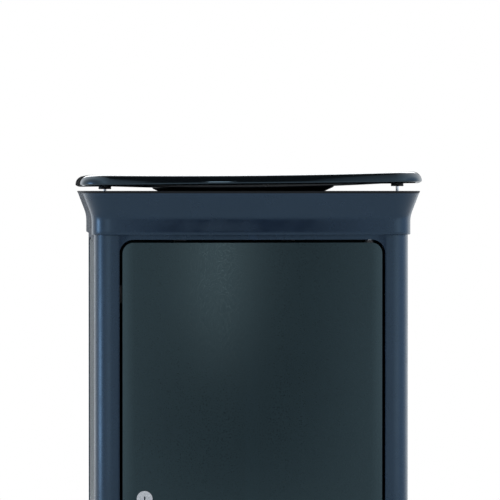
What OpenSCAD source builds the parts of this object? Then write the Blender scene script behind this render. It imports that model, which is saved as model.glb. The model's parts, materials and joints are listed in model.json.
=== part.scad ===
// Outdoor litter bin with an ash tray in its hinged lid, a lockable front door and an inner liner.
// Millimetres, +Z up, front towards -Y. The origin is the centre of the base plate's underside.
// The plan has flat sides, bowed front and rear faces and round corners. Every wall is given by
// its offset from that plan: 0 is the cabinet's outer face, and positive is outwards.

/* [Cabinet] */
// Width across the flat sides
cabinet_w = 520; // [460:5:640]
// Depth at the middle of the bowed faces
cabinet_d = 520; // [480:5:640]
// Height of the collar's top edge above the ground
collar_top_z = 985; // [800:5:1180]
// Radius of the bowed front and rear faces
bow_r = 1400; // [1200:50:3000]
// Radius of the upright corners
corner_r = 34; // [34:1:60]
// Thickness of the sheet steel
sheet_t = 2.5; // [2:0.25:3]

/* [Base] */
// Height of the plinth
plinth_h = 50; // [45:1:90]
// How far the plinth is set in from the cabinet
plinth_in = 12; // [8:1:20]
// Thickness of the base plate
base_t = 4; // [3:0.5:8]
// Distance of the anchor holes from the cabinet's sides
anchor_in_x = 50; // [45:5:80]
// Distance of the anchor holes from the cabinet's front and rear
anchor_in_y = 60; // [60:5:90]
// Radius of an anchor hole
anchor_r = 7; // [5:0.5:9]
// Margin round the square ballast slab
ballast_in = 80; // [75:5:110]

/* [Door and panels] */
// Width of the frame beside the front and rear windows
post_w = 41; // [40:1:60]
// Width of the frame beside the side windows
side_post_w = 75; // [70:5:110]
// Corner radius of the windows
window_r = 23; // [12:1:40]
// Height of the rail above the windows
top_rail = 8; // [6:1:40]
// Height of the rail below the windows
bottom_rail = 60; // [40:1:120]
// Gap around the door and the fixed panels
panel_gap = 5; // [4.5:0.5:7]
// How far the panels' faces lie behind the frame
panel_in = 1.5; // [1:0.25:2]
// Lap of a fixed panel behind the frame
panel_lap = 12; // [10:1:16]
// Height of the lock above the ground
lock_z = 480; // [300:5:700]
// Distance of the lock from the door's edge
lock_in = 36; // [34:1:42]

/* [Collar] */
// Height of the collar with its trim
collar_h = 72; // [66:1:90]
// How far the collar's skirt stands out from the cabinet
skirt_out = 4; // [4:0.5:8]
// Height of the skirt's upright part
skirt_h = 21; // [12:1:28]
// Radius between the skirt and the flare
flare_r = 50; // [30:1:50]
// Angle of the flare from upright
flare_angle = 21; // [10:1:25]
// Height of the black trim on the collar's edge
trim_h = 4; // [3:0.5:6]
// How far the collar's top flange reaches in
flange_in = 28; // [27:0.5:28]

/* [Lid] */
// How far the lid's edge stands out from the cabinet
lid_out = 23; // [20:0.5:30]
// Height of the lid's edge above the collar
lid_edge = 14; // [12:0.5:24]
// Gap between the collar and the middle of the lid
lid_gap = 5; // [5:0.5:12]
// Thickness of the lid at its middle
lid_t = 21; // [18:0.5:26]
// Thickness of the lid's shell
lid_wall = 3.5; // [2.5:0.25:4]
// Lean of the lid to the left, in degrees
lid_lean = 0.6; // [0:0.1:0.8]
// Distance of the rests from the cabinet's sides
rest_in = 18; // [16:1:25]
// Radius of a rest's rubber pad
rest_r = 10.5; // [8:0.5:12]

/* [Ash tray] */
// Radius of the ash tray's wall
tray_r = 155.5; // [129:0.5:187]
// Radius of the litter throat
throat_r = 89; // [70:1:100]
// Slope of the tray's floor in degrees
tray_slope = 24; // [16:1:26]

/* [Liner] */
// Room between the liner and the cabinet's sides
liner_room_x = 70; // [68:1:110]
// Room between the liner and the cabinet's front and rear
liner_room_y = 74; // [74:1:110]
// How much higher the liner is than the windows
liner_over = 5; // [-200:5:5]
// Thickness of the liner's sheet
liner_t = 1.5; // [1:0.25:2.5]

/* [Hidden] */
$fn = 96;

paint = "#2d3c4e";
panel_paint = "#1e2a30";
black = "#0b0f12";
rubber = "#15171a";
steel = "#a9adb2";
zinc = "#c3c7c9";
iron = "#4a4b4d";

eps = 0.3;                 // seating gap between pieces that rest on each other
run = 0.05;                // running clearance of a pin in its bore
weld_gap = 0.02;           // gap at a weld, so that a bowed face clears the shell's facets
long = 2000;               // longer than anything it cuts

// Plan outline: shared centres keep every offset of it exact.
bow_y = bow_r - cabinet_d / 2;
corner_x = cabinet_w / 2 - corner_r;
bow_a = asin(corner_x / (bow_r - corner_r));
corner_y = (bow_r - corner_r) * cos(bow_a) - bow_y;

// Heights
body_z = collar_top_z - collar_h + 30;          // top of the cabinet's shell, under the collar's shelf
skirt_z = collar_top_z - collar_h;
flange_z = collar_top_z - trim_h;               // top face of the collar's flange
window_top = skirt_z - top_rail;
window_bottom = plinth_h + bottom_rail;
window_mid = (window_top + window_bottom) / 2;
window_h = window_top - window_bottom;

// Door: its pivot axis lies inside its right edge, and its tray is as deep as the pivot needs.
window_w = cabinet_w - 2 * post_w;
side_window_w = cabinet_d - 2 * side_post_w;
door_w = window_w - 2 * panel_gap;
door_h = window_h - 2 * panel_gap;
pivot_x = door_w / 2 - 20;
pivot_y = face_y(door_w / 2, -panel_in) + 11.4;
door_back = pivot_y + 13;
frame_back = door_back + 6;
pin_r = 4;
bush_r = 7;

// Lock, on a line square to the bowed face
lock_x = door_w / 2 - lock_in;
lock_a = asin(lock_x / bow_r);
plug_r = 7;
cam_y = 33;
cam_t = 3;
cam_reach = 50;

// Lid heights above the ground, before the lean
lid_z = collar_top_z + lid_edge;                // the lid's outermost edge
under_mid = collar_top_z + lid_gap;
top_mid = under_mid + lid_t;
under_sag_r = 4800;
top_sag_r = 12500;
pan_out = 2;                                    // offset of the pan's wall
pan_t = 3;
bevel_w = 15;                                   // width of the bevelled edge
hole_r = tray_r + 1.5;
seat_r = tray_r + 10.5;                         // radius of the tray's flange
seat_z = top_mid - 4;                           // face that the tray's flange rests on

// Lid hinge
hinge_x = 95;
hinge_y = cabinet_d / 2 + lid_out + 9;
hinge_z = lid_z;
hinge_pin_r = 3;
knuckle_r = 7;
leaf_half = 12;
ear_t = 8;
leaf_t = 2.5;

// Front rests
rest_x = cabinet_w - 2 * rest_in;
rest_y = corner_y + 3;
stud_r = 2.4;
pad_t = 4.8;

// Liner
ballast_w = min(cabinet_w, cabinet_d) - 2 * ballast_in;
liner_w = cabinet_w - 2 * liner_room_x;
liner_d = cabinet_d - 2 * liner_room_y;
liner_h = window_h + liner_over;
slab_top = base_t + plinth_h;
tray_t = 2;
tray_lip = 15;
liner_z = slab_top + tray_t + eps;
liner_top = liner_z + liner_h;
rim_r = 4;
handle_z = liner_top - 26;
handle_x = liner_w / 2 + 9;
handle_span = 60;
handle_drop = 42;
rod_r = 3;

function face_y(x, o) = bow_y - sqrt(pow(bow_r + o, 2) - x * x);
plate_bow_n = 40;                               // points along a plate's bowed edge

// Points along an arc or a line, without its last point
function arc(c, r, a, b, n) = [for (i = [0 : n - 1]) let (t = a + (b - a) * i / n) c + r * [cos(t), sin(t)]];
function line(a, b, n) = [for (i = [0 : n - 1]) a + (b - a) * i / n];

// One half of the plan outline at an offset, from the left end of the front bow: m points along the bow
// and n along the side
function half_outline(o, n, m) = concat(
  arc([0, bow_y], bow_r + o, 270 - bow_a, 270 + bow_a, m),
  arc([corner_x, -corner_y], corner_r + o, -90 + bow_a, 0, 8),
  line([corner_x + corner_r + o, -corner_y], [corner_x + corner_r + o, corner_y], n),
  arc([corner_x, corner_y], corner_r + o, 0, 90 - bow_a, 8)
);
function outline(o, n = 1, m = 16) = let (half = half_outline(o, n, m)) concat(half, -half);

// A rectangle with round corners, as points
function rounded(w, h, r) = let (x = w / 2 - r, y = h / 2 - r) concat(
  arc([x, y], r, 0, 90, 8), [[x, h / 2]],
  arc([-x, y], r, 90, 180, 8), [[-w / 2, y]],
  arc([-x, -y], r, 180, 270, 8), [[-x, -h / 2]],
  arc([x, -y], r, 270, 360, 8), [[w / 2, -y]]
);

// Collar: offset of its outer face at height h above the skirt's edge
flare_h = flare_r * sin(flare_angle);
function collar_out(h) =
  h <= skirt_h ? skirt_out :
  h <= skirt_h + flare_h ? skirt_out + flare_r - sqrt(pow(flare_r, 2) - pow(h - skirt_h, 2)) :
  skirt_out + flare_r * (1 - cos(flare_angle)) + (h - skirt_h - flare_h) * tan(flare_angle);
function collar_face(lo, hi, inward) =
  [for (h = [lo, each [for (i = [0 : 5]) skirt_h + flare_h * i / 5], hi])
    if (h >= lo && h <= hi) [collar_out(h) - inward, skirt_z + h]];
function reversed(list) = [for (i = [len(list) - 1 : -1 : 0]) list[i]];

// Lid surfaces across its width
function under_z(x, up) = under_mid + up + x * x / (2 * under_sag_r);
function top_z(x, down) = top_mid - down + x * x / (2 * top_sag_r);
lid_xs = [for (i = [-12 : 12]) i * (cabinet_w / 2 + lid_out + 6) / 12];
function leaned(x) = x * tan(lid_lean);

// Sweeps a wall section, points of [offset, height], round the whole plan.
module sweep_round(section) {
  for (mx = [0, 1], my = [0, 1]) {
    mirror([mx, 0, 0]) mirror([0, my, 0]) translate([corner_x, corner_y, 0])
      rotate_extrude(angle = 90 - bow_a) polygon([for (p = section) [corner_r + p[0], p[1]]]);
  }
  for (my = [0, 1]) {
    mirror([0, my, 0]) translate([0, -bow_y, 0]) rotate([0, 0, 90 - bow_a])
      rotate_extrude(angle = 2 * bow_a, $fn = 720) polygon([for (p = section) [bow_r + p[0], p[1]]]);
  }
  for (mx = [0, 1]) {
    mirror([mx, 0, 0]) rotate([90, 0, 0]) linear_extrude(2 * corner_y, center = true)
      polygon([for (p = section) [cabinet_w / 2 + p[0], p[1]]]);
  }
}

module plate(o, z, t) {
  translate([0, 0, z]) linear_extrude(t) polygon(outline(o, 1, plate_bow_n));
}

// A prism along Y, its outline centred on the windows' middle
module window_prism(w, h, r, y0, y1) {
  translate([0, y1, window_mid]) rotate([90, 0, 0]) linear_extrude(y1 - y0) polygon(rounded(w, h, r));
}

module window_ring(w, h, r, t, y0, y1) {
  difference() {
    window_prism(w, h, r, y0, y1);
    window_prism(w - 2 * t, h - 2 * t, r - t, y0 - 1, y1 + 1);
  }
}

// The space inside the bowed face at offset o
module inside_bow(o) {
  translate([0, bow_y, 0]) cylinder(r = bow_r + o, h = long, $fn = 720);
}

module bowed_sheet(outer, inner, w, h, r) {
  intersection() {
    difference() {
      inside_bow(outer);
      inside_bow(inner);
    }
    window_prism(w, h, r, -cabinet_d / 2 - 5, -cabinet_d / 2 + 60);
  }
}

module lean() {
  translate([0, 0, lid_z]) rotate([0, -lid_lean, 0]) translate([0, 0, -lid_z]) children();
}

// Lid section between two of its surfaces, given as heights at each x, run along Y
module lid_slice(low, high) {
  rotate([90, 0, 0]) linear_extrude(long, center = true)
    polygon(concat([for (i = [0 : 24]) [lid_xs[i], low[i]]], [for (i = [24 : -1 : 0]) [lid_xs[i], high[i]]]));
}

module at_lock() {
  translate([0, bow_y, lock_z]) rotate([0, 0, -lock_a]) translate([0, -bow_r, 0]) children();
}

// A cylinder along -Y, from depth y0 to y1
module rod_y(r, y0, y1) {
  translate([0, y1, 0]) rotate([90, 0, 0]) cylinder(r = r, h = y1 - y0);
}

module rod_x(r, x0, x1) {
  translate([x0, 0, 0]) rotate([0, 90, 0]) cylinder(r = r, h = x1 - x0);
}

module hex_bolt(r, head_h, shank) {
  cylinder(r = r * 1.9, h = head_h, $fn = 6);
  translate([0, 0, -shank]) cylinder(r = r, h = shank + head_h / 2);
}

// Places that several pieces share
bolt_in = 19;                                   // offset inwards of the bolts in the shell's flanges
bolt_places = concat(
  [for (sx = [-1, 1], y = [-120, 120]) [sx * (cabinet_w / 2 - bolt_in), y]],
  [for (sy = [-1, 1], x = [-150, 150]) [x, -sy * face_y(x, -bolt_in)]]
);
bolt_r = 3;

module at_bolts() {
  for (p = bolt_places) translate([p[0], p[1], 0]) children();
}

module at_anchors() {
  for (sx = [-1, 1], sy = [-1, 1])
    translate([sx * (cabinet_w / 2 - anchor_in_x), sy * (cabinet_d / 2 - anchor_in_y), 0]) children();
}

module at_rests() {
  for (sx = [-1, 1]) translate([sx * rest_x / 2, -rest_y, 0]) children();
}

// ---- Base ----

module base_plinth() {
  color(paint) difference() {
    plate(-plinth_in, 0, plinth_h);
    plate(-plinth_in - sheet_t, base_t, plinth_h - base_t - sheet_t);
    plate(-30, base_t + 1, plinth_h);
    at_anchors() translate([0, 0, -1]) cylinder(r = anchor_r, h = base_t + 2);
    at_bolts() translate([0, 0, base_t + 2]) cylinder(r = bolt_r + 0.1, h = plinth_h);
  }
}

module ballast_slab() {
  color(iron) translate([0, 0, base_t]) linear_extrude(plinth_h) polygon(rounded(ballast_w, ballast_w, 20));
}

module liner_tray() {
  half = [liner_w / 2 + 3, liner_d / 2 + 3];
  color(zinc) translate([0, 0, slab_top]) difference() {
    translate([-half[0], -half[1], 0]) cube([2 * half[0], 2 * half[1], tray_t + tray_lip]);
    translate([tray_t - half[0], tray_t - half[1], tray_t])
      cube([2 * (half[0] - tray_t), 2 * (half[1] - tray_t), tray_lip + 1]);
  }
}

// ---- Cabinet ----

module body_shell() {
  color(paint) difference() {
    plate(0, plinth_h, body_z - plinth_h);
    plate(-sheet_t, plinth_h + sheet_t, body_z - plinth_h - 2 * sheet_t);
    plate(-25, plinth_h - 1, body_z);
    window_prism(window_w, window_h, window_r, -cabinet_d, cabinet_d);
    rotate([0, 0, 90]) window_prism(side_window_w, window_h, window_r, -cabinet_w, cabinet_w);
    at_bolts() cylinder(r = bolt_r + 0.1, h = long);
  }
}

module plinth_bolts() {
  color(zinc) at_bolts() translate([0, 0, plinth_h + sheet_t]) hex_bolt(bolt_r, 4, 10);
}

module door_frame() {
  color(paint) difference() {
    intersection() {
      window_ring(window_w + 2 * sheet_t, window_h + 2 * sheet_t, window_r + sheet_t, sheet_t,
        -cabinet_d / 2, frame_back);
      inside_bow(-sheet_t - weld_gap);
    }
    translate([pivot_x, pivot_y, 0]) cylinder(r = pin_r + run, h = long);
  }
}

// A fixed panel is a raised field in the window with a flange that laps behind the shell.
module flat_panel() {
  color(panel_paint) intersection() {
    union() {
      window_prism(side_window_w - 2 * panel_gap, window_h - 2 * panel_gap, window_r - panel_gap,
        panel_in, panel_in + sheet_t);
      window_ring(side_window_w + 2 * panel_lap, window_h + 2 * panel_lap, window_r + panel_lap,
        panel_lap + panel_gap + 6, sheet_t + eps, 2 * sheet_t + eps);
    }
    translate([-side_window_w, 0, 0]) cube([2 * side_window_w, 20, long]);
  }
}

module left_panel() {
  translate([-cabinet_w / 2, 0, 0]) rotate([0, 0, -90]) flat_panel();
}

module right_panel() {
  translate([cabinet_w / 2, 0, 0]) rotate([0, 0, 90]) flat_panel();
}

module rear_panel() {
  color(panel_paint) rotate([0, 0, 180]) {
    bowed_sheet(-panel_in, -panel_in - sheet_t, window_w - 2 * panel_gap, window_h - 2 * panel_gap,
      window_r - panel_gap);
    difference() {
      bowed_sheet(-sheet_t - eps, -2 * sheet_t - eps, window_w + 2 * panel_lap, window_h + 2 * panel_lap,
        window_r + panel_lap);
      window_prism(window_w - 2 * panel_gap - 12, window_h - 2 * panel_gap - 12, window_r - panel_gap - 6,
        -cabinet_d, 0);
    }
  }
}

// Clips screwed to the shell that hold the three fixed panels by their flanges
module panel_clip() {
  color(zinc) translate([-12, 2 * sheet_t + 2 * eps, -9]) cube([24, 3, 18]);
  color(zinc) translate([-12, sheet_t + eps, 13]) cube([24, 6, 5]);
  color(zinc) translate([-12, 2 * sheet_t + 2 * eps, 5]) cube([24, 3, 10]);
}

module panel_clips() {
  for (sx = [-1, 1], y = [-90, 90], end = [0, 1]) {
    translate([sx * cabinet_w / 2, y, end * window_h + window_bottom]) mirror([0, 0, 1 - end])
      rotate([0, 0, sx * 90]) panel_clip();
  }
  for (a = [-4, 4], end = [0, 1]) {
    translate([0, -bow_y, end * window_h + window_bottom]) mirror([0, 0, 1 - end])
      rotate([0, 0, a]) translate([0, bow_r, 0]) rotate([0, 0, 180]) panel_clip();
  }
}

// ---- Collar ----

module collar() {
  shelf = body_z - skirt_z;
  color(paint) difference() {
    section_skin(concat(
      collar_face(0, collar_h - trim_h, 0),
      [[-flange_in, flange_z], [-flange_in, flange_z - sheet_t]],
      reversed(collar_face(shelf + sheet_t, collar_h - trim_h - sheet_t, sheet_t)),
      [[-25, body_z + sheet_t], [-25, body_z]],
      reversed(collar_face(0, shelf, sheet_t))
    ));
    at_bolts() translate([0, 0, body_z - 5]) cylinder(r = bolt_r + 0.1, h = 12);
    at_rests() translate([0, 0, flange_z - 10]) cylinder(r = stud_r + 0.1, h = 20);
    hinge_screw_places() translate([0, 0, flange_z - 10]) cylinder(r = 2.6, h = 20);
  }
}

module collar_bolts() {
  color(zinc) at_bolts() translate([0, 0, body_z + sheet_t]) hex_bolt(bolt_r, 4, 9);
}

module rim_trim() {
  out = collar_out(collar_h - trim_h);
  tip = collar_out(collar_h);
  color(black) sweep_round([
    [out, flange_z], [tip, collar_top_z - 0.8], [tip - 0.8, collar_top_z],
    [8, collar_top_z], [8, flange_z]
  ]);
}

// ---- Rests under the lid's front corners ----

// Height of a pad's top face: the lid's leaning underside at the rest's place
function pad_top(sx) = under_z(rest_x / 2 - rest_r, 0) + leaned(sx * rest_x / 2) - eps
  - rest_r * tan(lid_lean);

module rest_studs() {
  color(steel) for (sx = [-1, 1]) translate([sx * rest_x / 2, -rest_y, flange_z - 16])
    cylinder(r = stud_r, h = pad_top(sx) - flange_z + 16 - pad_t);
}

module rest_nuts() {
  color(zinc) at_rests() difference() {
    translate([0, 0, flange_z - sheet_t - 4]) cylinder(r = 4.6, h = 4, $fn = 6);
    translate([0, 0, flange_z - 20]) cylinder(r = stud_r + 0.05, h = 40);
  }
}

module rest_pads() {
  color(rubber) for (sx = [-1, 1]) translate([sx * rest_x / 2, -rest_y, pad_top(sx) - pad_t])
    rotate_extrude() polygon([
      [0, 0], [rest_r - 1.2, 0], [rest_r, 1.2], [rest_r, pad_t - 0.8], [rest_r - 0.8, pad_t], [0, pad_t]
    ]);
}

// ---- Lid hinge ----

ears_half = leaf_half + 0.5 + ear_t;

module hinge_screw_places() {
  for (sx = [-1, 1], dx = [-1, 1], dy = [46, 62]) {
    translate([sx * hinge_x + dx * (leaf_half + 0.5 + ear_t / 2), hinge_y - dy, 0]) children();
  }
}

// Each bracket is one base plate with two ears that pass over the trim and hold the pin.
module lid_hinge_brackets() {
  ear = [
    [hinge_y - 70, flange_z], [hinge_y - 30, flange_z], [hinge_y - 30, collar_top_z + 0.5],
    [hinge_y - 6, collar_top_z + 0.5], [hinge_y + 7, hinge_z - 5], [hinge_y + 7, hinge_z],
    [hinge_y - 7, hinge_z], [hinge_y - 7, collar_top_z + 3.4], [hinge_y - 32, collar_top_z + 3.4],
    [hinge_y - 36, flange_z + 3], [hinge_y - 70, flange_z + 3]
  ];
  color(paint) for (sx = [-1, 1]) translate([sx * hinge_x, 0, 0]) difference() {
    union() {
      for (side = [-1, 1]) translate([side * (leaf_half + 0.5 + ear_t / 2), 0, 0]) {
        rotate([90, 0, 90]) linear_extrude(ear_t, center = true) polygon(ear);
        translate([0, hinge_y, hinge_z]) rod_x(knuckle_r, -ear_t / 2, ear_t / 2);
      }
      translate([-ears_half, hinge_y - 70, flange_z]) cube([2 * ears_half, 36, 3]);
    }
    translate([0, hinge_y, hinge_z]) rod_x(hinge_pin_r + run, -ears_half - 1, ears_half + 1);
    for (dx = [-1, 1], dy = [46, 62]) translate([dx * (leaf_half + 0.5 + ear_t / 2), hinge_y - dy, 0])
      cylinder(r = 2.6, h = long);
  }
}

module lid_hinge_pins() {
  color(steel) for (sx = [-1, 1]) translate([sx * hinge_x, hinge_y, hinge_z]) {
    rod_x(hinge_pin_r, -ears_half - 2, ears_half + 2);
    rod_x(hinge_pin_r + 2, -ears_half - 2.5, -ears_half - eps);
    rod_x(hinge_pin_r + 2, ears_half + eps, ears_half + 2.5);
  }
}

module lid_hinge_screws() {
  color(zinc) hinge_screw_places() translate([0, 0, flange_z + 3]) {
    cylinder(r = 3.8, h = 1.6);
    translate([0, 0, -12]) cylinder(r = 2.5, h = 13);
  }
}

// Height of a leaf's top face under the leaning pan, on the left (-1) or right (1)
function leaf_z(sx) = under_z(hinge_x - leaf_half, 0) + leaned(sx * hinge_x)
  - leaf_half * tan(lid_lean) - eps;

module lid_hinge_leaves() {
  color(paint) for (sx = [-1, 1]) translate([sx * hinge_x, 0, 0]) difference() {
    union() {
      rotate([90, 0, 90]) linear_extrude(2 * leaf_half, center = true) polygon([
        [hinge_y - 76, leaf_z(sx) - leaf_t], [hinge_y - 2, leaf_z(sx) - leaf_t],
        [hinge_y + 7, hinge_z - 5], [hinge_y + 7, hinge_z], [hinge_y - 7, hinge_z],
        [hinge_y - 7, leaf_z(sx)], [hinge_y - 76, leaf_z(sx)]
      ]);
      translate([0, hinge_y, hinge_z]) rod_x(knuckle_r, -leaf_half, leaf_half);
    }
    translate([0, hinge_y, hinge_z]) rod_x(hinge_pin_r + run, -leaf_half - 1, leaf_half + 1);
    leaf_screw_holes(2.6);
  }
}

module leaf_screw_holes(r) {
  for (dx = [-6, 6], dy = [44, 66]) translate([dx, hinge_y - dy, under_mid - 20]) cylinder(r = r, h = 60);
}

module lid_leaf_screws() {
  color(zinc) for (sx = [-1, 1], dx = [-6, 6], dy = [44, 66])
    translate([sx * hinge_x + dx, hinge_y - dy, leaf_z(sx) - leaf_t - 1.6]) {
      cylinder(r = 4, h = 1.6);
      cylinder(r = 2.5, h = 1.6 + leaf_t + pan_t + 4);
    }
}

// ---- Lid ----

// Rings of the lid's shell, one point for each point of the plan outline
side_n = 12;
function flat_ring(o, z) = [for (p = outline(o, side_n)) [p[0], p[1], z]];
function dished_ring(o, down) = [for (p = outline(o, side_n)) [p[0], p[1], top_z(p[0], down)]];
function bevel_ring(inset, down, z, a) = [for (p = outline(lid_out - inset - bevel_w * (1 - cos(a)), side_n))
  [p[0], p[1], z + (top_z(p[0], down) - z) * sin(a)]];
function round_ring(r, z) = [for (p = outline(-15, side_n)) [r * p[0] / norm(p), r * p[1] / norm(p), z]];
function pan_ring(r) = [for (p = round_ring(r, 0)) [p[0], p[1], under_z(p[0], pan_t + eps)]];
function dished_round_ring(r, down) = [for (p = round_ring(r, 0)) [p[0], p[1], top_z(p[0], down)]];

// A closed skin through rings of points, the last joined to the first
// A wall section, points of [offset, height], carried round the whole plan
module section_skin(section) {
  ring_skin([for (p = section) [for (q = outline(p[0])) [q[0], q[1], p[1]]]]);
}

module ring_skin(rings) {
  n = len(rings[0]);
  m = len(rings);
  polyhedron(
    [for (ring = rings) each ring],
    [for (i = [0 : m - 1], j = [0 : n - 1])
      let (a = i * n + j, b = i * n + (j + 1) % n, c = (i + 1) % m * n + (j + 1) % n, d = (i + 1) % m * n + j)
      each [[a, b, c], [a, c, d]]]
  );
}

module lid_top() {
  floor_z = lid_z - 4;
  boss_r = seat_r + 4.5;
  color(black) lean() ring_skin(concat(
    [flat_ring(pan_out + 0.4, floor_z), flat_ring(lid_out - 6, floor_z)],
    [for (a = [0 : 15 : 90]) bevel_ring(0, 0, floor_z + 4, a)],
    [dished_ring(-15, 0), dished_round_ring(seat_r + 1.5, 0), round_ring(seat_r + 1.5, seat_z),
      round_ring(hole_r, seat_z), pan_ring(hole_r), pan_ring(boss_r),
      dished_round_ring(boss_r, lid_wall), dished_ring(-15, lid_wall)],
    [for (a = [90 : -15 : 0]) bevel_ring(lid_wall, lid_wall, floor_z + 7, a)],
    [flat_ring(lid_out - 6 - lid_wall, floor_z + 3), flat_ring(pan_out + 0.4, floor_z + 3)]
  ));
}

module lid_pan() {
  color(black) lean() difference() {
    intersection() {
      plate(pan_out, under_mid - 20, lid_z - under_mid + 19.6);
      lid_slice([for (x = lid_xs) under_z(x, 0)], [for (x = lid_xs) lid_z + 40]);
    }
    intersection() {
      plate(pan_out - pan_t, under_mid - 20, lid_z - under_mid + 40);
      lid_slice([for (x = lid_xs) under_z(x, pan_t)], [for (x = lid_xs) lid_z + 80]);
    }
    translate([0, 0, under_mid - 30]) cylinder(r = hole_r, h = 80);
    for (sx = [-1, 1]) translate([sx * hinge_x, 0, 0]) leaf_screw_holes(3);
  }
}

// ---- Ash tray ----

tray_in = throat_r + 3.5;                       // radius where the floor meets the throat
tray_edge_z = under_mid + 0.5;                  // underside of the tray at its outer wall
function tray_under(r) = tray_edge_z - (tray_r - r) * tan(tray_slope);
ledge_z = tray_edge_z + 5.5;
tray_floor_t = 3.3;
ledge_in = tray_r - 12.5;                       // inner radius of the ledge that carries the grid

module ash_tray() {
  throat_z = tray_under(tray_in) - 20;
  floor_out = ledge_in - 0.5;
  floor_in = throat_r + 8;
  color(steel) lean() rotate_extrude() polygon([
    [seat_r, seat_z + 3.5], [tray_r - 3, seat_z + 3.5], [tray_r - 4, ledge_z], [ledge_in, ledge_z],
    [floor_out, tray_under(floor_out) + tray_floor_t], [floor_in, tray_under(floor_in) + tray_floor_t],
    [floor_in, ledge_z], [throat_r + 5.5, ledge_z], [throat_r + 4, seat_z], [throat_r + 1.5, seat_z],
    [throat_r, seat_z - 1.5], [throat_r, throat_z], [throat_r + 3, throat_z],
    [tray_in, tray_under(tray_in)], [tray_r, tray_edge_z], [tray_r, seat_z + 0.2], [seat_r, seat_z + 0.2]
  ]);
}

module stub_grid() {
  grid_out = ledge_in + 3;
  grid_in = throat_r + 6;
  color(steel) lean() translate([0, 0, ledge_z + 0.1]) difference() {
    cylinder(r = grid_out, h = 2);
    translate([0, 0, -1]) cylinder(r = grid_in, h = 4);
    for (ring = [0, 1], i = [0 : 17]) rotate([0, 0, (i + ring / 2) * 20])
      translate([grid_in + 14 + ring * 25, 0, -1]) cylinder(r = 5, h = 4, $fn = 32);
  }
}

// ---- Door ----

module door_skin() {
  color(panel_paint) difference() {
    union() {
      bowed_sheet(-panel_in, -panel_in - sheet_t, door_w, door_h, window_r - panel_gap);
      intersection() {
        window_ring(door_w, door_h, window_r - panel_gap, sheet_t, -cabinet_d / 2, door_back);
        inside_bow(-panel_in - 0.5);
      }
    }
    translate([pivot_x, pivot_y, 0]) cylinder(r = bush_r + 0.05, h = long);
    at_lock() rod_y(9.6, -5, 20);
  }
}

module door_stiffeners() {
  color(zinc) intersection() {
    for (x = [-70, 70]) translate([x, 0, window_mid]) difference() {
      translate([-25, -cabinet_d, -door_h / 2 + 40]) cube([50, cabinet_d + door_back, door_h - 80]);
      translate([-23, -cabinet_d, -door_h / 2 + 39]) cube([46, cabinet_d + door_back - 2, door_h - 78]);
    }
    inside_bow(-panel_in - sheet_t - 0.1);
  }
}

module at_pivots() {
  for (end = [0, 1]) translate([pivot_x, pivot_y, window_mid]) mirror([0, 0, 1 - end])
    translate([0, 0, window_h / 2]) children();
}

module door_pivot_bushes() {
  color(rubber) at_pivots() difference() {
    union() {
      translate([0, 0, -panel_gap - 16]) cylinder(r = bush_r, h = 16.1);
      translate([0, 0, -panel_gap]) cylinder(r = bush_r + 1, h = panel_gap - 1.2);
    }
    translate([0, 0, -panel_gap - 20]) cylinder(r = pin_r + run, h = 30);
  }
}

module door_pivot_pins() {
  color(steel) at_pivots() {
    translate([0, 0, -panel_gap - 14]) cylinder(r = pin_r, h = panel_gap + 26);
    translate([0, 0, sheet_t + 8 + eps]) cylinder(r = pin_r + 2.5, h = 3);
  }
}

module door_pivot_brackets() {
  color(paint) at_pivots() difference() {
    translate([-14, -8, sheet_t]) cube([22, 24, 8]);
    translate([0, 0, -1]) cylinder(r = pin_r + run, h = 30);
  }
}

module door_stops() {
  color(rubber) for (z = [window_bottom + 90, window_top - 90])
    translate([-window_w / 2, door_back + eps, z - 15]) cube([11, frame_back - door_back - eps, 30]);
}

module lock_keeper() {
  color(paint) difference() {
    translate([-window_w / 2 - sheet_t - 14, frame_back - 9, lock_z - 22]) cube([14, 9, 44]);
    translate([-window_w / 2 - sheet_t - 11.5, frame_back - 10, lock_z - 24]) cube([8, 7.5, 48]);
  }
}

// ---- Lock: its depths are measured inwards from the cabinet's face ----

module lock_housing() {
  color(steel) at_lock() difference() {
    union() {
      rod_y(13, -1, panel_in - 0.1);
      rod_y(9.5, 0, 30);
    }
    rod_y(plug_r + run, -2, 31);
  }
}

module lock_nut() {
  color(zinc) at_lock() difference() {
    translate([0, 9.2, 0]) rotate([90, 0, 0]) cylinder(r = 14, h = 9.2 - panel_in - sheet_t - 0.2, $fn = 6);
    rod_y(9.55, 0, 12);
  }
}

module lock_plug() {
  color(steel) at_lock() difference() {
    rod_y(plug_r, -0.6, cam_y - eps);
    translate([-1.2, -1, -4]) cube([2.4, 3, 8]);
  }
}

// Points down when the lock is open
module lock_cam() {
  color(zinc) at_lock() difference() {
    union() {
      rod_y(9, cam_y, cam_y + cam_t);
      translate([-8, cam_y, 9 - cam_reach]) cube([16, cam_t, cam_reach - 9]);
    }
    rod_y(2.7, cam_y - 1, cam_y + cam_t + 1);
  }
}

module lock_cam_screw() {
  color(steel) at_lock() {
    rod_y(2.6, cam_y - eps, cam_y + cam_t + 1);
    rod_y(6, cam_y + cam_t + 0.1, cam_y + cam_t + 3.5);
  }
}

// ---- Liner ----

module liner_box() {
  color(zinc) translate([0, 0, liner_z]) difference() {
    linear_extrude(liner_h) polygon(rounded(liner_w, liner_d, 24));
    translate([0, 0, liner_t])
      linear_extrude(liner_h) polygon(rounded(liner_w - 2 * liner_t, liner_d - 2 * liner_t, 24 - liner_t));
  }
}

// A rolled edge outside the top of the liner
module liner_rim() {
  color(zinc) translate([0, 0, liner_top - rim_r]) difference() {
    linear_extrude(rim_r + 1) polygon(rounded(liner_w + 2 * rim_r, liner_d + 2 * rim_r, 24 + rim_r));
    translate([0, 0, -1]) linear_extrude(rim_r + 1.1) polygon(rounded(liner_w + 0.2, liner_d + 0.2, 24.1));
    translate([0, 0, -1]) linear_extrude(rim_r + 4) polygon(rounded(liner_w - 3, liner_d - 3, 22.5));
  }
}

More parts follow.
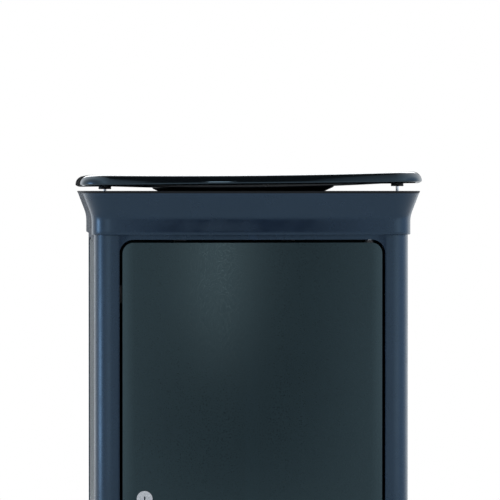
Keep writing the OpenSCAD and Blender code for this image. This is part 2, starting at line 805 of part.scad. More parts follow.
module at_lugs() {
  for (sx = [-1, 1], sy = [-1, 1]) translate([sx * handle_x, sy * (handle_span + 7), handle_z]) children();
}

module liner_lugs() {
  color(zinc) for (mx = [0, 1], sy = [-1, 1]) mirror([mx, 0, 0])
    translate([0, sy * (handle_span + 7), handle_z]) difference() {
      union() {
        translate([handle_x, 0, 0]) rod_y(rod_r + 2.5, -3, 3);
        translate([liner_w / 2 + 0.1, -3, -rod_r - 2.5]) cube([handle_x - liner_w / 2, 6, 2 * rod_r + 5]);
        translate([liner_w / 2 + 0.1, -3, -22]) cube([1.8, 6, 22]);
      }
      translate([handle_x, 0, 0]) rod_y(rod_r + run, -5, 5);
      translate([liner_w / 2 - 5, 0, -17]) rod_x(1.6, 0, 10);
    }
}

module liner_lug_rivets() {
  color(steel) for (mx = [0, 1], sy = [-1, 1]) mirror([mx, 0, 0])
    translate([liner_w / 2 + 1.95, sy * (handle_span + 7), handle_z - 17]) {
      rod_x(2.6, 0, 1.4);
      rod_x(1.5, -1.8, 0.5);
    }
}

// A bail that hangs from its lugs
module handle() {
  translate([handle_x, 0, handle_z]) {
    for (sy = [-1, 1]) {
      translate([0, sy * (handle_span + 4), 0]) rod_y(rod_r, -7, 7);
      translate([0, sy * (handle_span - 3), 0]) sphere(r = rod_r);
      translate([0, sy * (handle_span - 3), -handle_drop]) cylinder(r = rod_r, h = handle_drop);
      translate([0, sy * (handle_span - 3), -handle_drop]) sphere(r = rod_r);
    }
    translate([0, 0, -handle_drop]) rod_y(rod_r, 3 - handle_span, handle_span - 3);
  }
}

module right_handle() {
  color(steel) handle();
}

module left_handle() {
  color(steel) mirror([1, 0, 0]) handle();
}

base_plinth();
ballast_slab();
liner_tray();
body_shell();
plinth_bolts();
door_frame();
left_panel();
right_panel();
rear_panel();
panel_clips();
collar();
collar_bolts();
rim_trim();
rest_studs();
rest_nuts();
rest_pads();
lid_hinge_brackets();
lid_hinge_pins();
lid_hinge_screws();
door_pivot_brackets();
door_pivot_pins();
door_stops();
lock_keeper();
door_skin();
door_stiffeners();
door_pivot_bushes();
lock_housing();
lock_nut();
lock_plug();
lock_cam();
lock_cam_screw();
lid_top();
lid_pan();
lid_hinge_leaves();
lid_leaf_screws();
ash_tray();
stub_grid();
liner_box();
liner_rim();
liner_lugs();
liner_lug_rivets();
left_handle();
right_handle();
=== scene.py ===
"""Looks for the ashtray bin: smooth shells, rounded edges and procedural finishes around the CAD frame."""
import json
import math

import bmesh
import bpy
from mathutils import Matrix, Vector


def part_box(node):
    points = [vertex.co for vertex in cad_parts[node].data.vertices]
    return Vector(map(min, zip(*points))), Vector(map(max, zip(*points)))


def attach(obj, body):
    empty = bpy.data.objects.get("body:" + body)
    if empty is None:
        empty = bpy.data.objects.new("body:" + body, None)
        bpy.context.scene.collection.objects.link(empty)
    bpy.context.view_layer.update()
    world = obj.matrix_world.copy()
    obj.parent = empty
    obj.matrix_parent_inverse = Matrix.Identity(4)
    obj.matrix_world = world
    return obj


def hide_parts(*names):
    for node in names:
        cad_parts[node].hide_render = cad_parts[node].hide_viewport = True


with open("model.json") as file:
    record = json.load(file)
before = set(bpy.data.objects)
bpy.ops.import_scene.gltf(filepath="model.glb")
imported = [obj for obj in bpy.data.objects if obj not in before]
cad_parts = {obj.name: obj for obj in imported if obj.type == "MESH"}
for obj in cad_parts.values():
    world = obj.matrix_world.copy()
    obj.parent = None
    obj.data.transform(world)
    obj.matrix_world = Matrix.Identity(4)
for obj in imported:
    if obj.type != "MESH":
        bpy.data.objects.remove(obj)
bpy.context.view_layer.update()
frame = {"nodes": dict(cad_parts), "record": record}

# ---- Sizes in metres, worked out from the frame where the frame holds them ----

MM = 0.001
BOW_R = 1.400                       # radius of the bowed front and rear faces
CORNER_R = 0.034                    # radius of the upright corners
SHEET = 2.5 * MM                    # thickness of the folded steel

shell_lo, shell_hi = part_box("body_shell")
HALF_W, HALF_D = shell_hi.x, shell_hi.y
collar_lo, collar_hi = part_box("collar")
trim_lo, trim_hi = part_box("rim_trim")
door_lo, door_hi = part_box("door_skin")

BOW_Y = BOW_R - HALF_D
CORNER_X = HALF_W - CORNER_R
BOW_A = math.asin(CORNER_X / (BOW_R - CORNER_R))
CORNER_Y = (BOW_R - CORNER_R) * math.cos(BOW_A) - BOW_Y

PANEL_GAP = 5 * MM                  # gap all round the door and the panels
PANEL_IN = 1.5 * MM                 # how far their faces lie behind the shell's
PANEL_LAP = 12 * MM                 # flange behind the window's edge
FLANGE_GAP = 0.3 * MM               # between that flange and the shell
PANEL_EDGE = 1.1 * MM               # rounding of a panel's edges
WINDOW_R = 23 * MM
WINDOW_W = door_hi.x - door_lo.x + 2 * PANEL_GAP
WINDOW_H = door_hi.z - door_lo.z + 2 * PANEL_GAP
WINDOW_Z = (door_hi.z + door_lo.z) / 2
side_lo, side_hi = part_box("left_panel")
SIDE_WINDOW_W = side_hi.y - side_lo.y - 2 * PANEL_LAP

LEAN = math.radians(0.6)            # the lid's lean to the left
LID_OUT = 23 * MM                   # the lid's overhang past the cabinet
LID_PIVOT_Z = trim_hi.z + 14 * MM   # height of the lid's outermost edge, about which it leans
UNDER_MID = trim_hi.z + 5 * MM      # the lid's underside at its middle
TOP_MID = UNDER_MID + 21 * MM
UNDER_SAG_R = 4.8                   # the underside and the top are dished from side to side
TOP_SAG_R = 12.5
BEVEL_W = 15 * MM                   # width of the lid's rounded edge
ROLL_H = 4 * MM                     # height of the rolled edge below the lid's outermost line
ROLL_T = 3 * MM
LID_WALL = 3.5 * MM
PAN_OUT = 2 * MM
PAN_T = 3 * MM
PAN_GAP = 0.4 * MM                  # between the pan's edge and the lid's top
PAN_OVER = 0.3 * MM                 # between the pan's sheet and the lid's top
TRAY_R = 155.5 * MM
THROAT_R = 89 * MM
HOLE_R = TRAY_R + 1.5 * MM
SEAT_R = TRAY_R + 10.5 * MM
SEAT_Z = TOP_MID - 4 * MM
TRAY_SLOPE = math.radians(24)


# ---- Outlines ----

def arc(cx, cy, r, a, b, n):
    """Points along an arc, without its last point."""
    steps = [a + (b - a) * i / n for i in range(n)]
    return [(cx + r * math.cos(t), cy + r * math.sin(t)) for t in steps]


def outline(o, bow=44, corner=14, side=24):
    """The bin's plan at an offset: flat sides, bowed front and rear, round corners."""
    down, x = -math.pi / 2, CORNER_X + CORNER_R + o
    half = arc(0, BOW_Y, BOW_R + o, down - BOW_A, down + BOW_A, bow)
    half += arc(CORNER_X, -CORNER_Y, CORNER_R + o, down + BOW_A, 0, corner)
    half += [(x, -CORNER_Y + 2 * CORNER_Y * i / side) for i in range(side)]
    half += arc(CORNER_X, CORNER_Y, CORNER_R + o, 0, -down - BOW_A, corner)
    return half + [(-px, -py) for px, py in half]


def rounded(w, h, r, n=10):
    """A rectangle with round corners."""
    x, y, quarter = w / 2 - r, h / 2 - r, math.pi / 2
    points = []
    for i, (cx, cy) in enumerate([(x, y), (-x, y), (-x, -y), (x, -y)]):
        end = (i + 1) * quarter
        points += arc(cx, cy, r, i * quarter, end, n)
        points.append((cx + r * math.cos(end), cy + r * math.sin(end)))
    return points


def face_y(x, o):
    """Depth of the bowed front face at an offset."""
    return BOW_Y - math.sqrt((BOW_R + o) ** 2 - x * x)


def under_z(x, up=0.0):
    """Height of the lid's underside before it leans, or of a line above it."""
    return UNDER_MID + up + x * x / (2 * UNDER_SAG_R)


def top_z(x, down=0.0):
    """Height of the lid's top before it leans, or of a line below it."""
    return TOP_MID - down + x * x / (2 * TOP_SAG_R)


# ---- Mesh building ----

def new_object(name, bm, sharp=35):
    """Links a finished bmesh as an object, smooth except over sharp edges."""
    bmesh.ops.recalc_face_normals(bm, faces=bm.faces)
    mesh = bpy.data.meshes.new(name)
    bm.to_mesh(mesh)
    bm.free()
    obj = bpy.data.objects.new(name, mesh)
    bpy.context.scene.collection.objects.link(obj)
    smooth(obj, sharp)
    return obj


def smooth(obj, sharp=35):
    obj.data.shade_smooth()
    obj.data.set_sharp_from_angle(angle=math.radians(sharp))


def add_rings(bm, rings, closed=True):
    """Skins rings of points; closed joins the last ring to the first, and open ends get caps."""
    verts = [[bm.verts.new(p) for p in ring] for ring in rings]
    pairs = list(zip(verts, verts[1:])) + ([(verts[-1], verts[0])] if closed else [])
    for a, b in pairs:
        for j in range(len(a)):
            k = (j + 1) % len(a)
            bm.faces.new((a[j], a[k], b[k], b[j]))
    if not closed:
        bm.faces.new(list(reversed(verts[0])))
        bm.faces.new(verts[-1])


def swept(name, section, sharp=35):
    """A wall section, points of (offset, height), swept round the plan."""
    bm = bmesh.new()
    add_rings(bm, [[(x, y, z) for x, y in outline(o)] for o, z in section])
    return new_object(name, bm, sharp)


def turned(name, profile, steps=96, sharp=30):
    """A profile of (radius, height) points turned about the Z axis."""
    bm = bmesh.new()
    add_rings(bm, [[(r * math.cos(2 * math.pi * i / steps), r * math.sin(2 * math.pi * i / steps), z)
                    for i in range(steps)] for r, z in profile])
    return new_object(name, bm, sharp)


def prism(points, z0, z1, name="cutter"):
    """An outline in the XY plane, run from z0 to z1."""
    bm = bmesh.new()
    add_rings(bm, [[(x, y, z) for x, y in points] for z in (z0, z1)], closed=False)
    return new_object(name, bm)


def window_prism(w, h, r, y0, y1, turn=0.0):
    """A window's outline run along Y, turned about Z to face another side."""
    obj = prism(rounded(w, h, r), -y1, -y0)
    obj.data.transform(Matrix.Rotation(turn, 4, "Z") @ Matrix.Translation((0, 0, WINDOW_Z))
                       @ Matrix.Rotation(math.pi / 2, 4, "X"))
    return obj


def modified(obj, sharp=35):
    """Applies the object's modifiers."""
    graph = bpy.context.evaluated_depsgraph_get()
    mesh = bpy.data.meshes.new_from_object(obj.evaluated_get(graph))
    obj.modifiers.clear()
    obj.data = mesh
    smooth(obj, sharp)
    return obj


def cut(obj, tool, operation="DIFFERENCE"):
    """A boolean with a tool that is then thrown away."""
    mod = obj.modifiers.new("cut", "BOOLEAN")
    mod.object, mod.operation, mod.solver = tool, operation, "EXACT"
    modified(obj)
    bpy.data.objects.remove(tool)
    return obj


def rounded_edges(obj, width, segments=3, angle=40, sharp=50):
    """Rounds the edges that turn by more than an angle in degrees."""
    weld = obj.modifiers.new("weld", "WELD")
    weld.merge_threshold = 0.02 * MM
    bevel = obj.modifiers.new("bevel", "BEVEL")
    bevel.width, bevel.segments = width, segments
    bevel.limit_method, bevel.angle_limit = "ANGLE", math.radians(angle)
    bevel.harden_normals = False
    return modified(obj, sharp)


def joined(obj, *others):
    """Adds other objects' meshes to the first one."""
    bm = bmesh.new()
    for o in (obj, *others):
        bm.from_mesh(o.data)
    bm.to_mesh(obj.data)
    bm.free()
    for o in others:
        bpy.data.objects.remove(o)
    smooth(obj)
    return obj


def leaned(obj):
    """Leans a piece of the lid as the CAD lid leans."""
    pivot = Matrix.Translation((0, 0, LID_PIVOT_Z))
    obj.data.transform(pivot @ Matrix.Rotation(-LEAN, 4, "Y") @ pivot.inverted())
    return obj


def bow_block(front, back_y, z0, z1, half_w):
    """A block whose front follows the bowed face at an offset and whose back is flat."""
    xs = [half_w * (i / 30 - 1) for i in range(61)]
    points = [(x, face_y(x, front)) for x in xs] + [(half_w, back_y), (-half_w, back_y)]
    return prism(points, z0, z1)


def named(obj, name):
    """Names an object and its mesh."""
    obj.name = obj.data.name = name
    return obj


# ---- Finishes ----

class Nodes:
    """A material's nodes, added and wired in one call each."""

    def __init__(self, name):
        self.material = bpy.data.materials.new(name)
        self.material.use_nodes = True
        self.tree = self.material.node_tree
        self.shader = self.tree.nodes["Principled BSDF"]
        self.coords = self.tree.nodes.new("ShaderNodeTexCoord").outputs["Object"]

    def add(self, kind, inputs=None, **settings):
        node = self.tree.nodes.new("ShaderNode" + kind)
        for key, value in settings.items():
            setattr(node, key, value)
        for key, value in (inputs or {}).items():
            self.put(node.inputs[key], value)
        return node

    def put(self, socket, value):
        if isinstance(value, bpy.types.NodeSocket):
            self.tree.links.new(value, socket)
        else:
            socket.default_value = value

    def noise(self, scale, detail=3.0, stretch=None):
        """Noise between 0 and 1, its scale in features per metre."""
        coords = self.coords
        if stretch:
            coords = self.add("Mapping", {"Vector": coords, "Scale": stretch}).outputs[0]
        return self.add("TexNoise", {"Vector": coords, "Scale": scale, "Detail": detail}).outputs["Fac"]

    def cells(self, scale, output="Distance"):
        return self.add("TexVoronoi", {"Vector": self.coords, "Scale": scale}).outputs[output]

    def ranged(self, value, low, high, start=0.3, end=0.7):
        node = self.add("MapRange", {"Value": value, "From Min": start, "From Max": end,
                                     "To Min": low, "To Max": high})
        return node.outputs["Result"]

    def mix(self, factor, a, b):
        node = self.add("Mix", data_type="RGBA")
        self.put(node.inputs["Factor"], factor)
        self.put(node.inputs[6], a)
        self.put(node.inputs[7], b)
        return node.outputs[2]

    def math(self, operation, a, b):
        return self.add("Math", {0: a, 1: b}, operation=operation).outputs[0]

    def edges(self, start=0.53, end=0.60):
        """1 on worn outer edges, 0 elsewhere."""
        point = self.add("NewGeometry").outputs["Pointiness"]
        return self.ranged(point, 0.0, 1.0, start, end)

    def bump(self, *layers):
        """Layers of (height, depth in metres), each on top of the one before."""
        normal = None
        for height, depth in layers:
            inputs = {"Height": height, "Distance": depth, "Strength": 1.0}
            if normal:
                inputs["Normal"] = normal
            normal = self.add("Bump", inputs).outputs["Normal"]
        self.put(self.shader.inputs["Normal"], normal)

    def set(self, **values):
        for key, value in values.items():
            self.put(self.shader.inputs[key.replace("_", " ")], value)
        return self


def rgb(r, g, b):
    """A linear colour from the 0 to 255 values that a screen shows."""
    def linear(v):
        v /= 255
        return v / 12.92 if v <= 0.04045 else ((v + 0.055) / 1.055) ** 2.4
    return (linear(r), linear(g), linear(b), 1.0)


def scaled(colour, k):
    """A colour made darker or lighter."""
    return tuple(c * k for c in colour[:3]) + (1.0,)


def dust(m, colour, amount=0.25):
    """Pale dust that settles on faces that look up."""
    up = m.add("SeparateXYZ", {"Vector": m.add("NewGeometry").outputs["Normal"]}).outputs["Z"]
    patch = m.ranged(m.noise(14, 4.0), 0.25, 1.0)
    facing = m.ranged(up, 0.0, amount, 0.55, 1.0)
    return m.mix(m.math("MULTIPLY", facing, patch), colour, rgb(120, 122, 120))


BLUE_SHEEN = (0.52, 0.78, 1.0, 1.0)         # the blue cast of the frame's and the lid's highlights
GREEN_SHEEN = (0.60, 0.90, 1.0, 1.0)        # the greener cast of the panels' highlights


def powder_coat(name, base, rough, grain, grain_depth, wear=0.35):
    """Powder-coated steel: orange peel, faint cloudiness, rubbed edges."""
    m = Nodes(name)
    cloud = m.ranged(m.noise(9, 5.0), 0.0, 1.0)
    colour = m.mix(cloud, scaled(base, 0.90), scaled(base, 1.10))
    colour = m.mix(m.math("MULTIPLY", m.edges(), wear), colour, scaled(base, 2.2))
    m.set(Base_Color=dust(m, colour, 0.12), Metallic=0.0, IOR=1.5, Specular_Tint=BLUE_SHEEN)
    m.set(Roughness=m.ranged(m.noise(35, 4.0), rough - 0.04, rough + 0.05))
    m.bump((m.noise(120, 2.0), 0.05 * MM), (m.noise(grain, 2.0), grain_depth))
    return m.material


def textured_coat(name, base, rough):
    """Fine-textured powder coat: a dense grain of raised specks."""
    m = Nodes(name)
    speck = m.ranged(m.cells(900), 1.0, 0.0, 0.12, 0.45)
    grain = m.noise(650, 4.0)
    cloud = m.ranged(m.noise(11, 5.0), 0.0, 1.0)
    colour = m.mix(cloud, scaled(base, 0.92), scaled(base, 1.08))
    colour = m.mix(m.ranged(grain, 0.0, 0.55, 0.42, 0.70), colour, scaled(base, 1.75))
    colour = m.mix(m.math("MULTIPLY", m.edges(), 0.3), colour, scaled(base, 2.4))
    m.set(Base_Color=colour, Metallic=0.0, IOR=1.5, Specular_Tint=GREEN_SHEEN)
    m.set(Roughness=m.ranged(grain, rough - 0.05, rough + 0.06))
    m.bump((speck, 0.003 * MM), (grain, 0.003 * MM))
    return m.material


def gloss_black(name, base, rough):
    """Polished black moulding with hairline scuffs."""
    m = Nodes(name)
    scuff = m.ranged(m.noise(260, 6.0, (1.0, 0.08, 1.0)), 0.0, 1.0, 0.60, 0.75)
    smear = m.ranged(m.noise(7, 5.0), 0.0, 1.0)
    colour = m.mix(scuff, base, scaled(base, 1.6))
    m.set(Base_Color=dust(m, colour, 0.012), IOR=1.5, Specular_Tint=BLUE_SHEEN)
    smeared = m.ranged(smear, rough, rough + 0.05, 0.0, 1.0)
    m.set(Roughness=m.math("ADD", smeared, m.math("MULTIPLY", scuff, 0.06)))
    m.bump((m.noise(18, 2.0), 0.10 * MM))
    return m.material


def matt_black(name, base, rough, grain=700, depth=0.06 * MM, shine=0.5):
    """Moulded rubber or satin plastic with a fine grain."""
    m = Nodes(name)
    grains = m.noise(grain, 3.0)
    colour = m.mix(m.ranged(grains, 0.0, 1.0), scaled(base, 0.85), scaled(base, 1.3))
    colour = m.mix(m.math("MULTIPLY", m.edges(), 0.35), colour, scaled(base, 2.5))
    m.set(Base_Color=colour, IOR=1.5, Roughness=m.ranged(m.noise(40, 4.0), rough - 0.06, rough + 0.06))
    m.set(Specular_IOR_Level=shine)
    m.bump((grains, depth))
    return m.material


def metal(name, base, rough, scale=420, stretch=(1.0, 1.0, 0.05), depth=0.02 * MM):
    """Drawn or brushed metal: fine streaks along the piece."""
    m = Nodes(name)
    streak = m.noise(scale, 4.0, stretch)
    colour = m.mix(m.ranged(streak, 0.0, 1.0), scaled(base, 0.82), base)
    stain = m.ranged(m.noise(30, 5.0), 0.0, 0.35, 0.50, 0.75)
    m.set(Base_Color=m.mix(stain, colour, scaled(base, 0.55)), Metallic=1.0)
    m.set(Roughness=m.ranged(streak, rough - 0.06, rough + 0.10))
    m.bump((streak, depth))
    return m.material


def galvanised_steel(name, base):
    """Zinc spangle: flat crystals of slightly different brightness."""
    m = Nodes(name)
    crystals = m.cells(110, "Color")
    tone = m.add("SeparateColor", {"Color": crystals}).outputs[0]
    colour = m.mix(tone, scaled(base, 0.72), scaled(base, 1.15))
    grime = m.ranged(m.noise(12, 6.0), 0.0, 0.4, 0.50, 0.80)
    m.set(Base_Color=m.mix(grime, colour, scaled(base, 0.45)), Metallic=1.0)
    m.set(Roughness=m.ranged(tone, 0.30, 0.50, 0.0, 1.0))
    m.bump((m.noise(300, 3.0), 0.03 * MM))
    return m.material


def ash_enamel(name, base):
    """Satin black enamel, greyed with ash where it faces up."""
    m = Nodes(name)
    up = m.add("SeparateXYZ", {"Vector": m.add("NewGeometry").outputs["Normal"]}).outputs["Z"]
    patch = m.ranged(m.noise(60, 8.0), 0.0, 0.55, 0.45, 0.75)
    ash = m.math("MULTIPLY", m.ranged(up, 0.0, 1.0, 0.5, 0.9), patch)
    edge = m.mix(m.math("MULTIPLY", m.edges(), 0.4), base, scaled(base, 3.0))
    m.set(Base_Color=m.mix(ash, edge, rgb(96, 93, 88)), IOR=1.5)
    m.set(Roughness=m.ranged(m.noise(50, 5.0), 0.28, 0.42))
    m.bump((m.noise(400, 4.0), 0.05 * MM))
    return m.material


def cast_iron(name, base):
    """Rough grey iron with patches of rust."""
    m = Nodes(name)
    rust = m.ranged(m.noise(45, 8.0), 0.0, 0.6, 0.50, 0.72)
    m.set(Base_Color=m.mix(rust, base, rgb(92, 60, 42)), Metallic=0.3)
    m.set(Roughness=m.ranged(m.noise(80, 5.0), 0.6, 0.85))
    m.bump((m.noise(220, 6.0), 0.35 * MM))
    return m.material


FRAME_COLOUR = rgb(12, 22, 37)
PANEL_COLOUR = rgb(9, 18, 22)
MATERIALS = {
    "frame_paint": powder_coat("frame_paint", FRAME_COLOUR, 0.26, 900, 0.012 * MM),
    "collar_paint": powder_coat("collar_paint", FRAME_COLOUR, 0.24, 900, 0.012 * MM),
    "panel_paint": textured_coat("panel_paint", PANEL_COLOUR, 0.30),
    "lid_gloss": gloss_black("lid_gloss", rgb(8, 11, 13), 0.06),
    "lid_satin": matt_black("lid_satin", rgb(16, 20, 24), 0.32, 500, 0.02 * MM),
    "tray_paint": ash_enamel("tray_paint", rgb(14, 16, 19)),
    "trim_rubber": matt_black("trim_rubber", rgb(9, 11, 14), 0.60, shine=0.15),
    "pad_rubber": matt_black("pad_rubber", rgb(14, 16, 18), 0.55),
    "bush_plastic": matt_black("bush_plastic", rgb(30, 31, 33), 0.45),
    "stainless": metal("stainless", rgb(196, 199, 203), 0.26),
    "zinc": metal("zinc", rgb(204, 206, 203), 0.32),
    "lock_chrome": metal("lock_chrome", rgb(208, 210, 214), 0.18, 600, (1.0, 1.0, 1.0), 0.008 * MM),
    "galvanised": galvanised_steel("galvanised", rgb(178, 184, 188)),
    "ballast": cast_iron("ballast", rgb(58, 57, 58)),
}


def place(obj, node, body, slot, sharp=None):
    """Hands a finished piece to the frame in place of its CAD node."""
    if sharp:
        smooth(obj, sharp)
    obj.data.materials.clear()
    obj.data.materials.append(MATERIALS[slot])
    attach(obj, body)
    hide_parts(node)
    return obj


def paint_cad_nodes():
    """Every CAD node that still shows takes its slot's finish."""
    slots = {part["node"]: part["material_slot"] for part in frame["record"]["subparts"]}
    for node, obj in frame["nodes"].items():
        obj.data.materials.clear()
        obj.data.materials.append(MATERIALS[slots[node]])


# ---- Cabinet ----

SHELL_LAP = 25 * MM                 # flanges at the shell's top and bottom
REACH = 0.5                         # cutters run this far from the middle, past every face
PLINTH_IN = 12 * MM
PLINTH_LAP = 30 * MM
PLINTH_FLOOR_T = 4 * MM
ANCHOR_X, ANCHOR_Y, ANCHOR_R = 210 * MM, 200 * MM, 7 * MM


def make_body_shell():
    """The outer shell, flanged in at top and bottom, with a window in each face."""
    lo, hi, lap = shell_lo.z, shell_hi.z, SHELL_LAP
    shell = swept("shell", [
        (0, lo), (0, hi), (-lap, hi), (-lap, hi - SHEET), (-SHEET, hi - SHEET),
        (-SHEET, lo + SHEET), (-lap, lo + SHEET), (-lap, lo)])
    cut(shell, window_prism(WINDOW_W, WINDOW_H, WINDOW_R, -REACH, REACH))
    cut(shell, window_prism(SIDE_WINDOW_W, WINDOW_H, WINDOW_R, -REACH, REACH, math.pi / 2))
    rounded_edges(shell, 0.9 * MM)
    place(named(shell, "cabinet_shell"), "body_shell", "cabinet", "frame_paint")


def make_plinth():
    """The recessed base: a folded ring with a floor that the anchor holes go through."""
    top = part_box("base_plinth")[1].z
    inset, lap, t, edge, overlap = PLINTH_IN, PLINTH_LAP, PLINTH_FLOOR_T, 0.6 * MM, 0.5 * MM
    ring = swept("plinth", [
        (-inset - edge, 0), (-inset, edge), (-inset, top), (-lap, top), (-lap, top - SHEET),
        (-inset - SHEET, top - SHEET), (-inset - SHEET, t), (-lap, t), (-lap, 0)])
    floor = prism(outline(-lap + overlap), 0, t, "plinth_floor")
    for x in (-ANCHOR_X, ANCHOR_X):
        for y in (-ANCHOR_Y, ANCHOR_Y):
            cut(floor, prism(arc(x, y, ANCHOR_R, 0, 2 * math.pi, 32), -t, 2 * t))
    place(named(joined(ring, floor), "plinth"), "base_plinth", "cabinet", "frame_paint")


def make_side_panel(name, node, side):
    """A raised field in the side window, with a flange that laps behind the shell."""
    field = window_prism(SIDE_WINDOW_W - 2 * PANEL_GAP, WINDOW_H - 2 * PANEL_GAP, WINDOW_R - PANEL_GAP,
                         PANEL_IN, PANEL_IN + SHEET)
    rounded_edges(field, PANEL_EDGE)
    flange = window_prism(SIDE_WINDOW_W + 2 * PANEL_LAP, WINDOW_H + 2 * PANEL_LAP, WINDOW_R + PANEL_LAP,
                          SHEET + FLANGE_GAP, 2 * SHEET + FLANGE_GAP)
    panel = joined(field, flange)
    turn = Matrix.Rotation(side * math.pi / 2, 4, "Z")
    panel.data.transform(Matrix.Translation((side * HALF_W, 0, 0)) @ turn)
    place(named(panel, name), node, "cabinet", "panel_paint", 40)


SPARE = 4 * MM                      # how far a blank runs past the outline that it is cut to


def bowed_sheet(outer, thickness, w, h, r):
    """A sheet that follows the bowed face, with a round-cornered outline."""
    half_w, half_h, deep = w / 2 + SPARE, h / 2 + SPARE, 0.1
    sheet = bow_block(outer, -deep, WINDOW_Z - half_h, WINDOW_Z + half_h, half_w)
    cut(sheet, bow_block(outer - thickness, deep, 0, 2 * WINDOW_Z, half_w + SPARE))
    return cut(sheet, window_prism(w, h, r, -REACH, 0.0), "INTERSECT")


def make_rear_panel():
    """The rear panel, made at the front and turned to the back."""
    w, h = WINDOW_W - 2 * PANEL_GAP, WINDOW_H - 2 * PANEL_GAP
    field = bowed_sheet(-PANEL_IN, SHEET, w, h, WINDOW_R - PANEL_GAP)
    rounded_edges(field, PANEL_EDGE)
    w, h = WINDOW_W + 2 * PANEL_LAP, WINDOW_H + 2 * PANEL_LAP
    flange = bowed_sheet(-SHEET - FLANGE_GAP, SHEET, w, h, WINDOW_R + PANEL_LAP)
    panel = joined(field, flange)
    panel.data.transform(Matrix.Rotation(math.pi, 4, "Z"))
    place(named(panel, "rear_infill"), "rear_panel", "cabinet", "panel_paint", 40)


# ---- Collar ----

SKIRT_OUT, SKIRT_H = 4 * MM, 21 * MM
SKIRT_EDGE = 0.9 * MM               # rounding of the skirt's lower edge
FLARE_R, FLARE_A = 50 * MM, math.radians(21)
COLLAR_LAP = 28 * MM                # flange at the collar's top
FLARE_STEPS = 16
TRIM_IN = 8 * MM                    # offset of the trim's inner face
TRIM_NOSE_R = 1.2 * MM
PAD_R, PAD_T = 10.5 * MM, 4.8 * MM


def collar_out(h):
    """Offset of the collar's outer face at height h above the skirt's edge."""
    flare = FLARE_R * math.sin(FLARE_A)
    if h <= SKIRT_H:
        return SKIRT_OUT
    if h <= SKIRT_H + flare:
        return SKIRT_OUT + FLARE_R - math.sqrt(FLARE_R ** 2 - (h - SKIRT_H) ** 2)
    return SKIRT_OUT + FLARE_R * (1 - math.cos(FLARE_A)) + (h - SKIRT_H - flare) * math.tan(FLARE_A)


def make_collar():
    """An upright skirt that flares out to a flanged top."""
    base, top, t, lap = collar_lo.z, collar_hi.z, SHEET, COLLAR_LAP
    rise, nick = top - base, 0.25 * MM
    hs = [SKIRT_H + (rise - SKIRT_H) * i / FLARE_STEPS for i in range(FLARE_STEPS + 1)]
    outer = [(SKIRT_OUT - SKIRT_EDGE, base), (SKIRT_OUT - nick, base + nick), (SKIRT_OUT, base + SKIRT_EDGE)]
    outer += [(SKIRT_OUT, base + SKIRT_H * k) for k in (0.35, 0.7)]
    outer += [(collar_out(h), base + h) for h in hs]
    inner = [(collar_out(h) - t, base + h) for h in reversed(hs) if h < rise - t]
    inner += [(SKIRT_OUT - t, base + 1 * MM), (SKIRT_OUT - t, base)]
    collar = swept("collar_skin", outer + [(-lap, top), (-lap, top - t)] + inner, 30)
    place(collar, "collar", "cabinet", "collar_paint", 30)


def make_rim_trim():
    """The rubber strip on the collar's top, its outer edge rounded."""
    z0, z1 = trim_lo.z, trim_hi.z
    out, tip = collar_out(collar_hi.z - collar_lo.z), collar_out(trim_hi.z - collar_lo.z)
    r, lip_r, turn = TRIM_NOSE_R, 0.8 * MM, (0.0, 0.4, 0.8, 1.2, math.pi / 2)
    nose = [(tip - r + r * math.cos(a), z1 - r + r * math.sin(a)) for a in turn]
    lip = [(TRIM_IN + lip_r, z1), (TRIM_IN + 0.2 * MM, z1 - 0.3 * MM), (TRIM_IN, z1 - lip_r), (TRIM_IN, z0)]
    trim = swept("rim_seal", [(out, z0)] + nose + lip, 40)
    place(trim, "rim_trim", "cabinet", "trim_rubber", 40)


def make_rest_pads():
    """Rubber buffers with a moulded waist, one on each stud."""
    lo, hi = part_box("rest_pads")
    bm = bmesh.new()
    radius, lean_drop = PAD_R, (hi.x - lo.x - 2 * PAD_R) * math.tan(LEAN)
    profile = [(0.93, 0), (0.98, 0.06), (1.0, 0.16), (0.99, 0.40), (0.955, 0.50), (0.99, 0.60),
               (1.0, 0.84), (0.98, 0.95), (0.93, 1.0)]
    for side, x in ((0, lo.x + radius), (1, hi.x - radius)):
        top = hi.z - (0 if side else lean_drop)
        y = (lo.y + hi.y) / 2
        rings = [[(px, py, top - PAD_T + PAD_T * h) for px, py in arc(x, y, radius * k, 0, 2 * math.pi, 48)]
                 for k, h in profile]
        add_rings(bm, rings, closed=False)
    place(new_object("rest_buffers", bm, 40), "rest_pads", "cabinet", "pad_rubber", 40)


# ---- Door ----

def make_door():
    """A folded tray with a bowed face, open at the back."""
    w, h, r = WINDOW_W - 2 * PANEL_GAP, WINDOW_H - 2 * PANEL_GAP, WINDOW_R - PANEL_GAP
    back, past = door_hi.y, 0.05
    z0, z1 = WINDOW_Z - h / 2 - SPARE, WINDOW_Z + h / 2 + SPARE
    door = bow_block(-PANEL_IN, back, z0, z1, w / 2 + SPARE)
    cut(door, window_prism(w, h, r, -REACH, REACH), "INTERSECT")
    hollow = bow_block(-PANEL_IN - SHEET, back + past, z0, z1, w / 2)
    cut(hollow, window_prism(w - 2 * SHEET, h - 2 * SHEET, r - SHEET, -REACH, REACH), "INTERSECT")
    cut(door, hollow)
    rounded_edges(door, 1.2 * MM)
    place(named(door, "door_leaf"), "door_skin", "door", "panel_paint")


# ---- Lid ----

INNER_OFFSET = -15 * MM
# The lid's rolled lower edge: (distance in from the tip, height over the lowest line), in mm
LID_ROLL = [(9, 0), (6, 0.3), (2.6, 1.5), (0.6, 2.9)]


def plan_ring(o, height):
    """One ring of the lid at an offset, its height a number or a function of x."""
    return [(x, y, height(x) if callable(height) else height) for x, y in outline(o)]


def round_ring(r, height):
    """A circle with the plan's points, drawn in towards the middle."""
    ring = []
    for x, y in outline(INNER_OFFSET):
        k = r / math.hypot(x, y)
        ring.append((x * k, y * k, height(x * k) if callable(height) else height))
    return ring


